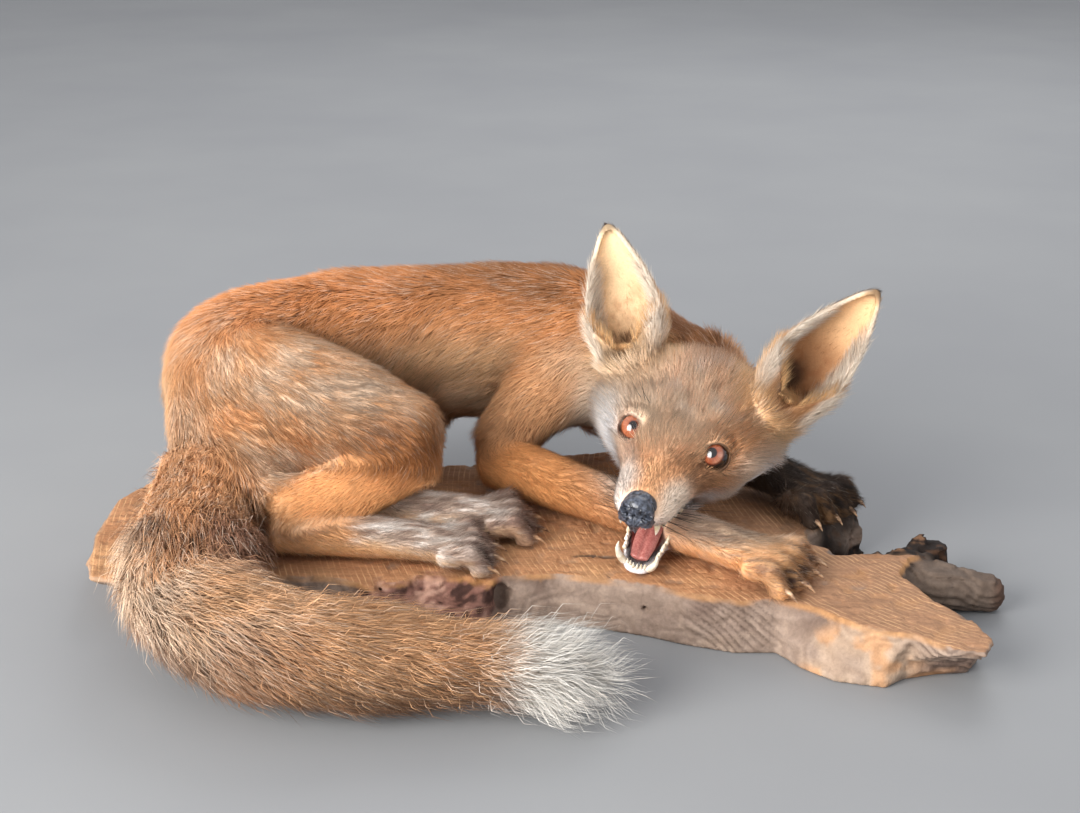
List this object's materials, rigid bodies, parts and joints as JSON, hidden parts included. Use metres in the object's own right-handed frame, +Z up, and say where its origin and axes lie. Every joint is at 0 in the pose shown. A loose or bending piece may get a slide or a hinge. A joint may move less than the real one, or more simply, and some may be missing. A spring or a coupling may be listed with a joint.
{
  "type": "taxidermy fox on wooden slab",
  "caption": "Life-size mounted red fox lying curled with its mouth open, fixed on a live-edge wooden slab, its brush hanging round the slab to the floor.",
  "frame": {"origin": "on the slab's flat underside, under the middle of the slab", "axes": "+X from the rump towards the head end of the slab, -Y the side that the fox faces, +Z up"},
  "size_m": [0.5753, 0.3985, 0.2204],
  "materials": {
    "coat_rust": "dense short fur, rust orange with grey-brown saddle and cream frosting",
    "coat_cream": "soft cream-white fur",
    "coat_grey": "short grizzled grey-brown fur with horn claws",
    "coat_dark": "short dark fur outside, bare pale skin inside the ear",
    "glass_eye": "glossy amber glass with a black pupil",
    "nose_leather": "pebbled blue-black, slightly moist",
    "mouth_pink": "painted coral red, satin",
    "teeth": "ivory enamel",
    "claw_horn": "semi-gloss brown horn with paler tips",
    "whisker": "stiff black hair",
    "weathered_wood": "sawn orange-tan face with saw marks, grey-brown weathered live edge"
  },
  "bodies": {
    "root": {"slab": "weathered_wood", "nose": "nose_leather", "eye_left": "glass_eye", "eye_right": "glass_eye", "head": "coat_rust", "lower_jaw": "coat_cream", "tongue": "mouth_pink", "ear_left": "coat_dark", "ear_right": "coat_dark", "hindquarters": "coat_rust", "loin": "coat_rust", "chest": "coat_rust", "neck": "coat_rust", "thigh_right": "coat_rust", "shin_right": "coat_rust", "hind_foot_right": "coat_grey", "upper_arm_right": "coat_rust", "forearm_right": "coat_rust", "forepaw_right": "coat_grey", "thigh_left": "coat_rust", "shin_left": "coat_rust", "hind_foot_left": "coat_grey", "upper_arm_left": "coat_rust", "forearm_left": "coat_rust", "forepaw_left": "coat_grey", "tail_1": "coat_rust", "tail_2": "coat_rust", "tail_3": "coat_rust", "tail_4": "coat_cream"}
  },
  "joints": []
}
